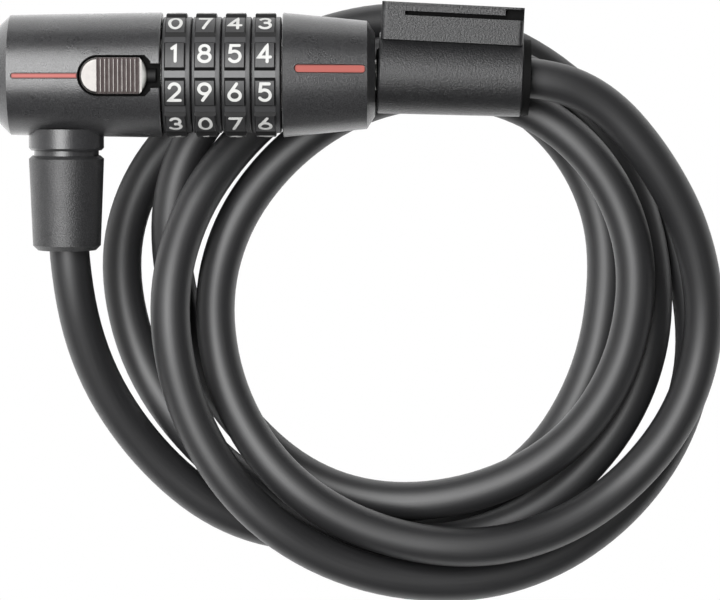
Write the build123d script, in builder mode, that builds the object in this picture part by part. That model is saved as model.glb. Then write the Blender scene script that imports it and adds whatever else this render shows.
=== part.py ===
"""Combination cable lock: four number dials, a coiled 10 mm cable and a bracket sleeve.

Frame: millimetres. The lock axis is X, from the rear end face at X = 0 towards the plug.
The reset slider faces +Z, the cable gland points to -Y. The coil lies flat below the lock.
"""
import math
import os

from build123d import *

os.makedirs("parts", exist_ok=True)

# ---------------------------------------------------------------- driving sizes
# rear housing
housing_r = 15.6            # outer radius beside the dials, which the rest of the body follows
housing_rear_r = housing_r - 0.6
end_face_r = housing_r - 3.1
end_chamfer = 2.6
housing_len = 40.4
housing_bore_r = housing_r - 3.6
flange_seat_r = housing_r - 2.6
flange_seat_x = housing_len - 4.0
cap_r = end_face_r - 1.5
cap_t = 2.5
cap_web = 1.5
cap_web_r = cap_r - 1.5
cap_web_t = 1.5
edge = 0.25                 # small edge break on visible rims

# dials
dial_count = 4
digits = 10
dial_pitch = 7.4
dial_gap = 0.25
dial_width = dial_pitch - dial_gap
dial_x0 = housing_len + 0.35
pad_r = housing_r - 0.15
dial_base_r = pad_r - 0.95
pad_inset = 0.75
pad_width = 5.1
groove_floor_w = 1.7
groove_top_w = 3.9
groove_angle = 88.5         # middle of the groove that faces the reader, 90 is +Z

# lock mechanism
run_fit = 0.08              # running clearance on radius
pin_r = 3.8
tube_bore_r = pin_r + run_fit
tube_r = 6.0
tooth_r = 7.4
tooth_w = 2.2
tooth_len = 1.8
tooth_back = 1.5            # how far a tooth starts before its dial
slot_clear = 0.2
clutch_in_r = tube_r + run_fit
clutch_r = 9.0
clutch_inset = 1.0
clutch_len = 3.2
lug_h = 0.95
lug_w = 2.0
lug_len = 0.8
lug_count = 5
dimple_r = 0.5              # click dimples in the clutch ring's bore
shift_travel = 0.9          # slider and clutch travel towards the nose
spacer_in_r = tooth_r + 0.3
spacer_r = clutch_r - 0.05
axial_clear = 0.05
flange_len = 2.5
tube_end_grip = 6.6         # tube length held in the nose
blind_wall = 0.7
leaf_w = 2.6
leaf_t = 0.4
leaf_groove_r = 5.1
leaf_groove_ends = 2.0      # tube left whole at the groove's two ends together
bump_r = 0.45

# nose
nose_gap = 0.35
nose_r = housing_r - 0.05
nose_tip_r = nose_r - 2.05
nose_cone_len = 21.0
nose_face_r = nose_tip_r - 3.1
nose_len = 23.0
spring_pocket = 1.9         # depth of the stack spring's pocket in the nose
stack_spring_t = 0.35
stack_spring_out = 0.15     # how far the spring stands out of the nose

# slider
slot_x1 = housing_len - 2.2
slot_x0 = slot_x1 - 18.15
slot_w = 10.2
slot_corner = 1.5
channel_w = 6.1
liner_wall = 0.25
liner_floor_z = housing_r - 3.4
liner_floor_t = 0.8
window_len = 9.0
window_w = 5.0
window_x = slot_x1 - 8.7
button_x0 = slot_x0 + 0.6
button_x1 = slot_x1 - 0.9
button_w = 9.0
button_bulge = 1.9          # how far the front end curves out past its corners
button_notch_x = button_x1 - 1.85   # notch between the ribs and the front end
button_notch = 0.6
button_z0 = liner_floor_z + liner_floor_t + 0.15
button_top_z = housing_r + 0.5
button_round = 0.8
rib_count = 10
rib_pitch = 1.06
rib_h = 0.5
rib_crest = 0.12            # flat width of a rib's crest
rib_x0 = button_x0 + 4.3
stem_len = 6.5
stem_w = 4.4
tongue_r = 1.8
carrier_z1 = liner_floor_z - 1.4
carrier_z0 = carrier_z1 - 1.4
carrier_w = 8.0
carrier_x0 = flange_seat_x - 12.4
arm_w = 6.0
arm_len = 0.6
carrier_lug_x = 2.2         # middle of the carrier's lug, from the carrier's rear end
carrier_lug_t = 1.4
carrier_lug_w = 6.0
lug_drop = 2.6
spring_folds = 6
spring_fold_h = 1.6
spring_strip_t = 0.35
spring_strip_w = 4.0
spring_end_gap = 0.3        # bends stand off the lug and the flange by this much

# red marker strips, each in a pocket a little wider than the strip and sunk below its rim
strip_depth = 0.9
strip_gap = 0.15
strip_sink = 0.1
rear_strip_x0, rear_strip_x1, rear_strip_w = 3.8, slot_x0 + 1.0, 1.3  # runs into the slider's slot
strip_frame_gap = 0.03      # between the strip's end and the slider's frame
nose_strip_inset, nose_strip_len, nose_strip_w = 3.15, 17.4, 1.9
nose_strip_angle = 7.0      # the nose is turned this much against the rear housing

# fasteners
dowel_r = 1.0
dowel_angles = (215, 325)   # around X, measured from +Y towards +Z
dowel_inset = 4.3
pin_depth = 0.6             # pin ends below the nose's surface
screw_r = 1.0
screw_head_r = 1.8
screw_tip_r = flange_seat_r - 3.5
screw_sink = 0.2            # screw head below the housing's surface
screw_socket_r = 0.7
screw_socket_depth = 0.6

# cable gland
gland_x = 16.2
neck_r = 9.4
neck_chamfer = 0.6
neck_seat_y = housing_r - 2.2   # distance of the seat below the axis
neck_end_y = housing_r + 3.2
spigot_r = 6.9
port_clear = 0.05
spigot_top_y = housing_bore_r - 5.0
clip_t = 1.0
clip_y = 0.75 * housing_bore_r - 1.3
clip_groove_r = 5.9
clip_r = 0.68 * housing_bore_r     # its corners stay inside the bore at any housing size
lower_spigot = 3.0
ring_t = 1.3
ring_r = 8.1
sleeve_top_r = 9.4
sleeve_low_r = 8.5
sleeve_end_y = 43.8
sleeve_chamfer = 1.2
rope_r = 2.5
rope_bore_r = 2.7
stop_r = 4.4
stop_len = 6.0
crimp_r = spigot_r
crimp_grip = 6.0
mouth_r = 5.7

# cable
cable_r = 5.0
cable_start_y = -28.0

# plug
plug_gap = 0.3
cable_end_depth = 23.25     # how deep in the ferrule's length the cable ends
ferrule_r = 7.2
ferrule_len = 33.0
pin_grip = 12.0
rope_grip = 9.0

# bracket sleeve with its rail
bracket_lean = -2.15        # degrees about Z
bracket_draft = 0.7         # degrees, thinner towards the cable
bracket_gap = 0.75          # from the nose's face to the sleeve
bracket_len = 36.0
bracket_r = 10.0            # at the middle
bracket_rim = 0.4
bracket_bore_r = 8.0
bracket_ring_t = 1.8
bracket_ring_r = 9.5
bracket_ring_bore = 6.2
rail_x0 = 0.2 - bracket_len / 2
rail_x1 = bracket_len / 2 - 0.4
rail_half_w = 6.8
rail_corner_r = 1.3
rail_base_y = 8.2
rail_seat_y = 14.35
rail_slot_h = 1.1
rail_slot_x0 = rail_x0 + 5.7
rail_entry_x0 = rail_x1 - 4.8
rail_neck_half_w = 4.4
rail_bar_x0 = rail_x0 + 1.4
rail_bar_recess = 0.4
rail_lip_y = 17.05
rail_top_y = 17.55

# ---------------------------------------------------------------- worked-out places
tongue_end_x = housing_len - shift_travel - 0.1
nose_x0 = dial_x0 + dial_count * dial_pitch + nose_gap - dial_gap
nose_x1 = nose_x0 + nose_len
nose_strip_x0 = nose_x0 + nose_strip_inset
nose_strip_x1 = nose_strip_x0 + nose_strip_len
plug_x0 = nose_x1 + plug_gap
cable_end_x = plug_x0 + cable_end_depth
bracket_mid_x = nose_x1 + bracket_gap + bracket_len / 2
tube_end_x = nose_x0 + tube_end_grip
flange_x1 = flange_seat_x + flange_len
screw_x = flange_seat_x + flange_len / 2
pin_x = nose_x0 + tube_end_grip / 2
key_r = tooth_r + 0.3
key_w = tooth_w + 2 * slot_clear
dial_starts = [dial_x0 + i * dial_pitch for i in range(dial_count)]
sleeve_start_y = neck_end_y + ring_t
crimp_start_y = neck_end_y + lower_spigot + 0.2
rear_strip_plane = Plane.XY.offset(housing_rear_r - strip_depth)
nose_strip_plane = Plane.XY.rotated((-nose_strip_angle, 0, 0)).offset(nose_tip_r - strip_depth)


def ring(x0, x1, r_out, r_in=0.0, mode=Mode.ADD):
    """A disc or ring around the lock axis, from x0 to x1, in the open part."""
    with BuildSketch(Plane.YZ.offset(x0)) as disc:
        Circle(r_out)
        if r_in:
            Circle(r_in, mode=Mode.SUBTRACT)
    extrude(disc.sketch, amount=x1 - x0, mode=mode)


def turned(points, mode=Mode.ADD):
    """A turned shape around the lock axis, from (x, radius) corners, in the open part."""
    with BuildSketch(Plane.XY) as half:
        with BuildLine():
            Polyline(*points, close=True)
        make_face()
    revolve(half.sketch, axis=Axis.X, mode=mode)


def gland_disc(y0, y1, r_out, r_in=0.0, mode=Mode.ADD):
    """A disc or ring around the gland axis, from y0 to y1 below the lock axis."""
    with BuildSketch(Plane.XZ.offset(y0)) as disc:
        with Locations((gland_x, 0)):
            Circle(r_out)
            if r_in:
                Circle(r_in, mode=Mode.SUBTRACT)
    extrude(disc.sketch, amount=y1 - y0, mode=mode)


def radial_planes(x, radius):
    """Planes that face outwards at the fastener angles, at this distance from the axis."""
    planes = []
    for angle in dowel_angles:
        out = (0, math.cos(math.radians(angle)), math.sin(math.radians(angle)))
        planes.append(Plane(origin=(x, radius * out[1], radius * out[2]), z_dir=out))
    return planes


def radial_pegs(x, r0, r1, radius, mode=Mode.ADD):
    """Round pegs or holes at the fastener angles, from r0 out to r1."""
    with BuildSketch(*radial_planes(x, r0)) as ends:
        Circle(radius)
    extrude(ends.sketch, amount=r1 - r0, mode=mode)


def save(builder, name):
    builder.part.label = name
    export_step(builder.part, f"parts/{name}.step")


def rear_outline(sink=0.0):
    """Corners of the rear housing's outside, all of it lowered by sink."""
    return [
        (0, 0), (0, end_face_r - sink), (end_chamfer, housing_rear_r - sink),
        (housing_len - edge, housing_r - sink), (housing_len, housing_r - edge - sink), (housing_len, 0),
    ]


def nose_outline(sink=0.0):
    """Corners of the nose's outside, all of it lowered by sink."""
    return [
        (nose_x0, 0), (nose_x0, nose_r - edge - sink), (nose_x0 + edge, nose_r - sink),
        (nose_x0 + nose_cone_len, nose_tip_r - sink), (nose_x1, nose_face_r - sink), (nose_x1, 0),
    ]


def marker_strip(x0, x1, width, plane, mode, gap=0.0):
    """The rounded body of a marker strip, cut from or kept of the open part."""
    with BuildSketch(plane) as strip:
        with Locations(((x0 + x1) / 2, 0)):
            SlotOverall(x1 - x0 + 2 * gap, width + 2 * gap)
    extrude(strip.sketch, amount=housing_r, mode=mode)


def slot_outline(grow=0.0, reach=0.0):
    """Slider slot outline on XY: round rear end, cut front corners, narrow channel."""
    half = slot_w / 2 + grow
    x0 = slot_x0 - grow
    x1 = slot_x1 + grow
    neck = channel_w / 2 + grow
    with BuildLine() as outline:
        Polyline(
            (x0 + half, half), (x1 - slot_corner, half), (x1, half - slot_corner), (x1, neck),
            (housing_len + reach, neck), (housing_len + reach, -neck), (x1, -neck),
            (x1, slot_corner - half), (x1 - slot_corner, -half), (x0 + half, -half))
        ThreePointArc((x0 + half, -half), (x0, 0), (x0 + half, half))
    make_face(outline.edges())


# ---------------------------------------------------------------- rear housing group
with BuildPart() as rear_housing:
    turned(rear_outline())
    ring(0, cap_t, cap_r, mode=Mode.SUBTRACT)
    ring(cap_t, cap_t + cap_web, cap_web_r, mode=Mode.SUBTRACT)
    ring(cap_t + cap_web, flange_seat_x, housing_bore_r, mode=Mode.SUBTRACT)
    ring(flange_seat_x, housing_len, flange_seat_r, mode=Mode.SUBTRACT)
    with BuildSketch(Plane.XY.offset(carrier_z0)):
        slot_outline(reach=1)
    extrude(amount=housing_r, mode=Mode.SUBTRACT)
    marker_strip(rear_strip_x0, rear_strip_x1, rear_strip_w, rear_strip_plane, Mode.SUBTRACT, strip_gap)
    gland_disc(neck_seat_y, housing_r + 1, neck_r + port_clear, mode=Mode.SUBTRACT)
    gland_disc(0, neck_seat_y, spigot_r + port_clear, mode=Mode.SUBTRACT)
    radial_pegs(screw_x, housing_bore_r - 1, housing_r + 1, screw_r, Mode.SUBTRACT)
    radial_pegs(screw_x, flange_seat_r + 1, housing_r + 1, screw_head_r, Mode.SUBTRACT)
save(rear_housing, "rear_housing")

with BuildPart() as rear_end_cap:
    turned([(0, 0), (0, cap_r - edge), (edge, cap_r), (cap_t, cap_r), (cap_t, 0)])
    ring(cap_t, cap_t + cap_web, cap_web_r)
    ring(cap_t, cap_t + cap_web, cap_web_r - cap_web_t, mode=Mode.SUBTRACT)
save(rear_end_cap, "rear_end_cap")

with BuildPart() as rear_marker:
    turned(rear_outline(strip_sink))
    marker_strip(rear_strip_x0, rear_strip_x1, rear_strip_w, rear_strip_plane, Mode.INTERSECT)
    with BuildSketch(rear_strip_plane):
        slot_outline(grow=strip_frame_gap)
    extrude(amount=housing_r, mode=Mode.SUBTRACT)
save(rear_marker, "rear_marker")

with BuildPart() as slider_frame:
    with BuildSketch(Plane.XY.offset(liner_floor_z)):
        slot_outline()
    extrude(amount=housing_r - liner_floor_z)
    ring(0, housing_len, housing_rear_r + 0.2, mode=Mode.INTERSECT)
    with BuildSketch(Plane.XY.offset(liner_floor_z + liner_floor_t)):
        slot_outline(grow=-liner_wall, reach=1)
    extrude(amount=housing_r, mode=Mode.SUBTRACT)
    with BuildSketch(Plane.XY.offset(liner_floor_z)):
        with Locations((window_x, 0)):
            Rectangle(window_len, window_w)
    extrude(amount=liner_floor_t, mode=Mode.SUBTRACT)
save(slider_frame, "slider_frame")

with BuildPart() as slider_button:
    with BuildSketch(Plane.XY.offset(button_z0)):
        with BuildLine():
            half = button_w / 2
            front = button_x1 - button_bulge
            Line((button_x0 + half, half), (front, half))
            ThreePointArc((front, half), (button_x1, 0), (front, -half))
            Line((front, -half), (button_x0 + half, -half))
            ThreePointArc((button_x0 + half, -half), (button_x0, 0), (button_x0 + half, half))
        make_face()
    extrude(amount=button_top_z - button_z0)
    fillet(slider_button.edges().group_by(Axis.Z)[-1], radius=button_round)
    # pointed ribs across the button: grooves cut below its top, crests level with it
    rib_reach = button_w / 2 + 1
    with BuildSketch(Plane.XZ.offset(-rib_reach)):
        for k in range(rib_count):
            groove_x = rib_x0 + k * rib_pitch
            Polygon((groove_x, button_top_z), (groove_x + rib_pitch - rib_crest, button_top_z),
                    (groove_x + (rib_pitch - rib_crest) / 2, button_top_z - rib_h), align=None)
    extrude(amount=2 * rib_reach, mode=Mode.SUBTRACT)
    with BuildSketch(Plane.XY.offset(button_top_z - button_notch)):
        with Locations((button_notch_x + button_notch / 2, 0)):
            Rectangle(button_notch, button_w + 1)
    extrude(amount=2 * button_notch, mode=Mode.SUBTRACT)
    with BuildSketch(Plane.XY.offset(carrier_z1)):
        with Locations((window_x, 0)):
            Rectangle(stem_len, stem_w)
    extrude(amount=button_z0 - carrier_z1)
    # rounded tongue in the narrow channel, towards the dials
    with BuildSketch(Plane.YZ.offset(button_x1 - button_bulge)):
        with Locations((0, button_z0)):
            Circle(tongue_r)
            Rectangle(2 * tongue_r, tongue_r, align=(Align.CENTER, Align.MAX), mode=Mode.SUBTRACT)
    extrude(amount=tongue_end_x - button_x1 + button_bulge)
save(slider_button, "slider_button")

arm_x0 = flange_x1 + 0.2
with BuildPart() as slider_carrier:
    with BuildSketch(Plane.XY.offset(carrier_z0)):
        with Locations(((carrier_x0 + arm_x0) / 2, 0)):
            Rectangle(arm_x0 - carrier_x0, carrier_w)
    extrude(amount=carrier_z1 - carrier_z0)
    with BuildSketch(Plane.YZ.offset(arm_x0)):
        with Locations((0, (carrier_z1 + spacer_in_r) / 2)):
            Rectangle(arm_w, carrier_z1 - spacer_in_r)
    extrude(amount=arm_len)
    ring(arm_x0, arm_x0 + arm_len, spacer_r, mode=Mode.SUBTRACT)
    with BuildSketch(Plane.XY.offset(carrier_z0 - lug_drop)):
        with Locations((carrier_x0 + carrier_lug_x, 0)):
            Rectangle(carrier_lug_t, carrier_lug_w)
    extrude(amount=lug_drop)
save(slider_carrier, "slider_carrier")

spring_x0 = carrier_x0 + carrier_lug_x + carrier_lug_t / 2 + spring_end_gap
spring_x1 = flange_seat_x - spring_end_gap
spring_z = carrier_z0 - lug_drop / 2
with BuildPart() as slider_spring:
    with BuildSketch(Plane.XZ.offset(-spring_strip_w / 2)):
        with BuildLine():
            bends = []
            for k in range(spring_folds + 1):
                side = 1 if k % 2 else -1
                bend_x = spring_x0 + (spring_x1 - spring_x0) * k / spring_folds
                bends.append((bend_x, spring_z + side * spring_fold_h / 2))
            Polyline(*bends)
        trace(line_width=spring_strip_t)
    extrude(amount=spring_strip_w)
save(slider_spring, "slider_spring")

# ---------------------------------------------------------------- lock core
with BuildPart() as core_tube:
    ring(flange_seat_x, flange_x1, flange_seat_r - 0.02)
    ring(flange_x1, tube_end_x, tube_r)
    ring(flange_seat_x + blind_wall, tube_end_x, tube_bore_r, mode=Mode.SUBTRACT)
    with BuildSketch(Plane.XY):
        with Locations(((flange_x1 + tube_end_x) / 2 + 0.05, 0)):
            Rectangle(tube_end_x - flange_x1 + 0.1, key_w)
    extrude(amount=tube_r + 1, mode=Mode.SUBTRACT)
    with BuildSketch(Plane.XY.offset(carrier_z0 - 0.3)):
        with Locations((flange_seat_x + flange_len / 2, 0)):
            Rectangle(flange_len + 1, carrier_w + 0.6)
    extrude(amount=housing_r, mode=Mode.SUBTRACT)
    with BuildSketch(Plane.XY.offset(-tube_r - 1)):
        with Locations(((flange_x1 + nose_x0) / 2, 0)):
            Rectangle(nose_x0 - flange_x1 - leaf_groove_ends, leaf_w + 0.4)
    extrude(amount=tube_r + 1 - leaf_groove_r, mode=Mode.SUBTRACT)
    radial_pegs(screw_x, screw_tip_r, flange_seat_r + 1, screw_r, Mode.SUBTRACT)
    radial_pegs(pin_x, dowel_inset, tube_r + 1, dowel_r, Mode.SUBTRACT)
save(core_tube, "core_tube")

with BuildPart() as detent_leaf:
    leaf_z = -leaf_groove_r - leaf_t
    with BuildSketch(Plane.XY.offset(leaf_z)):
        with Locations(((flange_x1 + nose_x0) / 2, 0)):
            Rectangle(nose_x0 - flange_x1 - leaf_groove_ends - 1, leaf_w)
    extrude(amount=leaf_t)
    for start in dial_starts:
        with BuildSketch(Plane.YZ.offset(start + clutch_inset + shift_travel + 0.3)):
            with Locations((0, leaf_z)):
                Circle(bump_r)
                Rectangle(2 * bump_r, bump_r, align=(Align.CENTER, Align.MIN), mode=Mode.SUBTRACT)
        extrude(amount=clutch_len - shift_travel - 0.6)
save(detent_leaf, "detent_leaf")

with BuildPart() as pusher_ring:
    ring(arm_x0, dial_x0 + clutch_inset - axial_clear, spacer_r, spacer_in_r)
save(pusher_ring, "pusher_ring")

for i, start in enumerate(dial_starts):
    number = i + 1
    clutch_x0 = start + clutch_inset
    clutch_x1 = clutch_x0 + clutch_len

    # number ring: ten raised pads with sloped grooves between them
    with BuildPart() as dial_ring:
        pad_x0 = start + pad_inset
        pad_x1 = pad_x0 + pad_width
        turned([
            (start, clutch_r + run_fit), (start, dial_base_r - edge), (start + edge, dial_base_r),
            (pad_x0, dial_base_r), (pad_x0, pad_r - edge), (pad_x0 + edge, pad_r),
            (pad_x1 - edge, pad_r), (pad_x1, pad_r - edge), (pad_x1, dial_base_r),
            (start + dial_width - edge, dial_base_r), (start + dial_width, dial_base_r - edge),
            (start + dial_width, clutch_r + run_fit)])
        with BuildSketch(Plane.YZ.offset(pad_x0)):
            with PolarLocations(dial_base_r, digits, start_angle=groove_angle):
                Polygon((0, -groove_floor_w / 2), (pad_r - dial_base_r + 0.2, -groove_top_w / 2),
                        (pad_r - dial_base_r + 0.2, groove_top_w / 2), (0, groove_floor_w / 2),
                        align=None)
        extrude(amount=pad_width, mode=Mode.SUBTRACT)
        # notches that take the clutch lugs, and the relief they shift into
        with BuildSketch(Plane.YZ.offset(start)):
            with PolarLocations(clutch_r, digits, start_angle=90):
                Rectangle(2 * (lug_h + run_fit), lug_w + 2 * slot_clear)
        extrude(amount=clutch_inset + lug_len + axial_clear, mode=Mode.SUBTRACT)
        ring(clutch_x0 + lug_len + axial_clear, clutch_x0 + 2 * lug_len + shift_travel + 0.3,
             clutch_r + lug_h + run_fit, mode=Mode.SUBTRACT)
    save(dial_ring, f"dial_ring_{number}")

    # clutch ring: gate for its tooth, ten click dimples, lugs into the number ring
    with BuildPart() as clutch_ring:
        ring(clutch_x0, clutch_x1, clutch_r, clutch_in_r)
        with BuildSketch(Plane.YZ.offset(clutch_x0)):
            with PolarLocations(clutch_r, lug_count, start_angle=90):
                Rectangle(2 * lug_h, lug_w)
            Circle(clutch_r - 0.5, mode=Mode.SUBTRACT)
        extrude(amount=lug_len)
        with BuildSketch(Plane.YZ.offset(clutch_x0)):
            with Locations((0, key_r / 2)):
                Rectangle(key_w, key_r)
            with PolarLocations(clutch_in_r, digits, start_angle=90):
                Circle(dimple_r)
        extrude(amount=clutch_len, mode=Mode.SUBTRACT)
    save(clutch_ring, f"clutch_ring_{number}")

    # spacer to the next clutch ring, or to the stack spring in the nose
    last = number == dial_count
    spacer_x1 = nose_x0 - 0.2 if last else start + dial_pitch + clutch_inset - axial_clear
    with BuildPart() as dial_spacer:
        ring(clutch_x1 + axial_clear, spacer_x1, spacer_r, spacer_in_r)
    save(dial_spacer, f"dial_spacer_{number}")

# ---------------------------------------------------------------- nose group
with BuildPart() as front_housing:
    turned(nose_outline())
    ring(nose_x0, nose_x1, tube_bore_r, mode=Mode.SUBTRACT)
    ring(nose_x0, tube_end_x + axial_clear, tube_r, mode=Mode.SUBTRACT)
    ring(nose_x0, nose_x0 + spring_pocket, spacer_r + 0.2, spacer_in_r - 0.2, mode=Mode.SUBTRACT)
    with BuildSketch(Plane.YZ.offset(nose_x0)):
        with Locations((0, key_r / 2)):
            Rectangle(key_w, key_r)
    extrude(amount=nose_len, mode=Mode.SUBTRACT)
    marker_strip(nose_strip_x0, nose_strip_x1, nose_strip_w, nose_strip_plane, Mode.SUBTRACT, strip_gap)
    radial_pegs(pin_x, tube_r - 1, nose_r + 1, dowel_r, Mode.SUBTRACT)
save(front_housing, "front_housing")

with BuildPart() as front_marker:
    turned(nose_outline(strip_sink))
    marker_strip(nose_strip_x0, nose_strip_x1, nose_strip_w, nose_strip_plane, Mode.INTERSECT)
save(front_marker, "front_marker")

with BuildPart() as nose_pins:
    radial_pegs(pin_x, dowel_inset, nose_r - pin_depth, dowel_r)
save(nose_pins, "nose_pins")

with BuildPart() as housing_screws:
    head_top = housing_r - screw_sink
    radial_pegs(screw_x, screw_tip_r, flange_seat_r + 1, screw_r)
    radial_pegs(screw_x, flange_seat_r + 1, head_top, screw_head_r)
    radial_pegs(screw_x, head_top - screw_socket_depth, housing_r, screw_socket_r, Mode.SUBTRACT)
save(housing_screws, "housing_screws")

with BuildPart() as stack_spring:
    small_x = nose_x0 - stack_spring_out
    large_x = nose_x0 + spring_pocket
    turned([
        (small_x, spacer_in_r), (small_x + stack_spring_t, spacer_in_r),
        (large_x, spacer_r + 0.1), (large_x - stack_spring_t, spacer_r + 0.1)])
save(stack_spring, "stack_spring")

# ---------------------------------------------------------------- cable gland group
gland_axis = Axis((gland_x, 0, 0), (0, 1, 0))

with BuildPart() as gland_neck:
    gland_disc(spigot_top_y, neck_end_y + lower_spigot, spigot_r)
    gland_disc(neck_seat_y, neck_end_y, neck_r)
    rim = gland_neck.edges().filter_by(GeomType.CIRCLE).filter_by(lambda e: abs(e.radius - neck_r) < 0.01)
    chamfer(rim.sort_by(Axis.Y)[0], length=neck_chamfer)
    gland_disc(clip_y, clip_y + clip_t, spigot_r, clip_groove_r, Mode.SUBTRACT)
    gland_disc(spigot_top_y, neck_end_y + lower_spigot, rope_bore_r, mode=Mode.SUBTRACT)
save(gland_neck, "gland_neck")

with BuildPart() as retaining_clip:
    gland_disc(clip_y, clip_y + clip_t, clip_r, clip_groove_r)
    with BuildSketch(Plane.XZ.offset(clip_y)):
        with Locations((gland_x + clip_r / 2, 0)):
            Rectangle(clip_r, 2 * clip_groove_r - 2)
    extrude(amount=clip_t, mode=Mode.SUBTRACT)
save(retaining_clip, "retaining_clip")

with BuildPart() as gland_ring:
    gland_disc(neck_end_y, sleeve_start_y, ring_r, spigot_r)
save(gland_ring, "gland_ring")

with BuildPart() as gland_sleeve:
    with BuildSketch(Plane.XY):
        with BuildLine():
            Polyline(
                (gland_x + spigot_r + port_clear, -sleeve_start_y),
                (gland_x + sleeve_top_r - 0.9, -sleeve_start_y),
                (gland_x + sleeve_top_r, -sleeve_start_y - 0.8),
                (gland_x + sleeve_low_r, -sleeve_end_y + sleeve_chamfer),
                (gland_x + sleeve_low_r - sleeve_chamfer, -sleeve_end_y),
                (gland_x + mouth_r + 0.5, -sleeve_end_y),
                (gland_x + mouth_r, -sleeve_end_y + 0.8),
                (gland_x + mouth_r, cable_start_y - crimp_grip - 1),
                (gland_x + spigot_r + port_clear, cable_start_y - crimp_grip - 1),
                close=True)
        make_face()
    revolve(axis=gland_axis)
save(gland_sleeve, "gland_sleeve")

with BuildPart() as cable_crimp:
    gland_disc(crimp_start_y, -cable_start_y + crimp_grip, crimp_r)
    gland_disc(crimp_start_y, -cable_start_y, rope_r, mode=Mode.SUBTRACT)
    gland_disc(-cable_start_y, -cable_start_y + crimp_grip, cable_r, mode=Mode.SUBTRACT)
save(cable_crimp, "cable_crimp")

with BuildPart() as rope_tail:
    gland_disc(spigot_top_y - stop_len, -cable_start_y, rope_r)
save(rope_tail, "rope_tail")

with BuildPart() as rope_stop:
    gland_disc(spigot_top_y - stop_len, spigot_top_y - 0.1, stop_r)
    chamfer(rope_stop.edges().filter_by(GeomType.CIRCLE), length=0.8)
    gland_disc(spigot_top_y - stop_len, spigot_top_y - 0.1, rope_r, mode=Mode.SUBTRACT)
save(rope_stop, "rope_stop")

# ---------------------------------------------------------------- plug group
pin_x0 = flange_seat_x + blind_wall + 0.3
with BuildPart() as plug_pin:
    turned([(pin_x0, 0), (pin_x0, pin_r - 0.8), (pin_x0 + 0.8, pin_r),
            (plug_x0 + pin_grip, pin_r), (plug_x0 + pin_grip, 0)])
    for start in dial_starts:
        with BuildSketch(Plane.XY):
            with Locations((start - tooth_back + tooth_len / 2, 0)):
                Rectangle(tooth_len, tooth_w)
        extrude(amount=tooth_r - 0.2)
save(plug_pin, "plug_pin")

with BuildPart() as plug_ferrule:
    turned([(plug_x0, 0), (plug_x0, ferrule_r - 1), (plug_x0 + 1, ferrule_r),
            (plug_x0 + ferrule_len - 1, ferrule_r), (plug_x0 + ferrule_len, ferrule_r - 1),
            (plug_x0 + ferrule_len, 0)])
    ring(plug_x0, plug_x0 + pin_grip, pin_r, mode=Mode.SUBTRACT)
    ring(cable_end_x - rope_grip, cable_end_x, rope_r, mode=Mode.SUBTRACT)
    ring(cable_end_x, plug_x0 + ferrule_len, cable_r, mode=Mode.SUBTRACT)
save(plug_ferrule, "plug_ferrule")

with BuildPart() as plug_rope:
    ring(cable_end_x - rope_grip, cable_end_x, rope_r)
save(plug_rope, "plug_rope")

# ---------------------------------------------------------------- bracket sleeve group
def leaning(degrees):
    """Directions along and across a line in XY that leans by this angle."""
    lean = math.radians(degrees)
    return Vector(math.cos(lean), math.sin(lean), 0), Vector(-math.sin(lean), math.cos(lean), 0)


along, across = leaning(bracket_lean)
rail_along, rail_across = leaning(bracket_lean - bracket_draft)
bracket_mid = Vector(bracket_mid_x, 0, 0)
bracket_section = Plane(origin=bracket_mid, x_dir=across, z_dir=along)
rail_plan = Plane(origin=bracket_mid, x_dir=rail_along, z_dir=rail_across)

# each rail cut: from and to along the rail, from and to in height, half width it leaves
rail_cuts = [
    (rail_slot_x0, rail_x1, rail_seat_y, rail_seat_y + rail_slot_h, rail_neck_half_w),
    (rail_entry_x0, rail_x1, rail_seat_y, rail_lip_y, rail_neck_half_w),
    (rail_bar_x0, rail_x1, rail_seat_y + rail_slot_h, rail_lip_y, rail_half_w - rail_bar_recess),
]


def bracket_ring_part(x0, x1, r_out, r_in):
    """A ring around the leaning bracket axis."""
    with BuildSketch(bracket_section.offset(x0)) as disc:
        Circle(r_out)
        Circle(r_in, mode=Mode.SUBTRACT)
    extrude(disc.sketch, amount=x1 - x0)


end_x = bracket_len / 2
end_dr = end_x * math.tan(math.radians(bracket_draft))
with BuildPart() as bracket_sleeve:
    with BuildSketch(Plane(origin=bracket_mid, x_dir=along, z_dir=(0, 0, 1))):
        with BuildLine():
            Polyline(
                (-end_x, 0), (-end_x, bracket_r + end_dr - bracket_rim),
                (bracket_rim - end_x, bracket_r + end_dr), (end_x - bracket_rim, bracket_r - end_dr),
                (end_x, bracket_r - end_dr - bracket_rim), (end_x, 0), close=True)
        make_face()
    revolve(axis=Axis(bracket_mid, along))
    with BuildSketch(rail_plan.offset(rail_base_y)):
        with Locations(((rail_x0 + rail_x1) / 2, 0)):
            RectangleRounded(rail_x1 - rail_x0, 2 * rail_half_w, rail_corner_r)
    extrude(amount=rail_top_y - rail_base_y)
    for cut_x0, cut_x1, cut_y0, cut_y1, half_left in rail_cuts:
        for side in (1, -1):
            with BuildSketch(rail_plan.offset(cut_y0)):
                with Locations(((cut_x0 + cut_x1 + 1) / 2, side * (half_left + rail_half_w / 2))):
                    Rectangle(cut_x1 + 1 - cut_x0, rail_half_w)
            extrude(amount=cut_y1 - cut_y0, mode=Mode.SUBTRACT)
    with BuildSketch(bracket_section.offset(-bracket_len / 2)):
        Circle(bracket_bore_r)
    extrude(amount=bracket_len, mode=Mode.SUBTRACT)
save(bracket_sleeve, "bracket_sleeve")

with BuildPart() as bracket_end_ring:
    bracket_ring_part(bracket_len / 2, bracket_len / 2 + bracket_ring_t, bracket_ring_r, bracket_ring_bore)
save(bracket_end_ring, "bracket_end_ring")

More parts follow.
